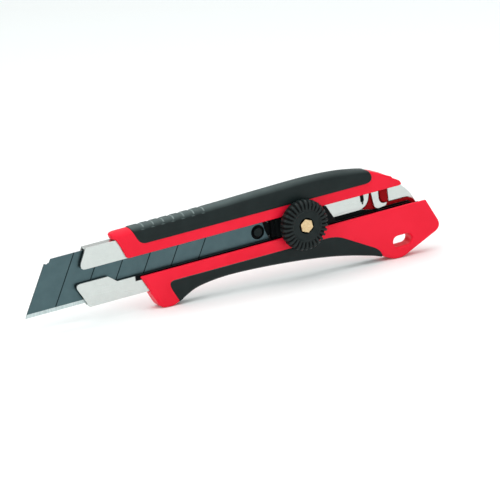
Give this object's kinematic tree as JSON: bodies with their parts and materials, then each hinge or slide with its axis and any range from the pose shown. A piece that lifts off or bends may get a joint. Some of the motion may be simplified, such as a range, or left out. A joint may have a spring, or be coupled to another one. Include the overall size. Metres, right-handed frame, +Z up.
{
  "type": "utility knife",
  "caption": "Heavy-duty snap-off utility knife with a steel blade channel, a screw-wheel lock, rubber grips, a rear catch lever and a lanyard slot.",
  "frame": {"origin": "on the flat underside of the front foot, in the blade's middle plane", "axes": "+X towards the rear along the handle, +Y towards the back side away from the lock wheel, +Z up"},
  "size_m": [0.2191, 0.0155, 0.0482],
  "materials": {
    "red_shell": "satin moulded plastic",
    "grip_rubber": "matte soft overmould",
    "channel_steel": "satin sheet steel",
    "small_steel": "satin steel",
    "blade_steel": "dark tempered steel with a bright ground edge",
    "black_plastic": "fine matte grain",
    "brass": "satin",
    "dark_red_plastic": "satin moulded plastic"
  },
  "bodies": {
    "frame": {"housing": "red_shell", "channel": "channel_steel", "top_grip": "grip_rubber", "bottom_grip": "grip_rubber", "rivet_1": "small_steel", "rivet_2": "small_steel", "rivet_3": "small_steel", "guide_strip": "channel_steel", "slide_liner": "black_plastic", "strip_nib": "black_plastic", "catch_bed": "dark_red_plastic", "catch_clip": "channel_steel", "catch_pin": "small_steel", "tail_plate": "channel_steel"},
    "slider": {"carriage": "black_plastic", "blade": "blade_steel", "blade_boss": "black_plastic", "flat_washer": "small_steel", "clamp_plate": "small_steel"},
    "wheel": {"lock_wheel": "black_plastic", "wheel_insert": "brass", "clamp_stud": "small_steel", "spring_washer": "small_steel"},
    "catch": {"catch_lever": "dark_red_plastic"}
  },
  "joints": [
    {"name": "carriage_slide", "type": "slide", "parent": "frame", "child": "slider", "axis": [0.9983, 0, 0.0582], "range_m": [-0.06, 0.027]},
    {"name": "wheel_turn", "type": "hinge", "parent": "slider", "child": "wheel", "pos_m": [0.07293, -0.008, 0.02734], "axis": [0, -1, 0], "range_deg": [0, 270]},
    {"name": "catch_swing", "type": "hinge", "parent": "frame", "child": "catch", "pos_m": [0.11957, 0, 0.03667], "axis": [0, -1, 0], "range_deg": [0, 12], "stiffness_Nm_per_rad": 0.02, "springref_deg": -5.73}
  ]
}
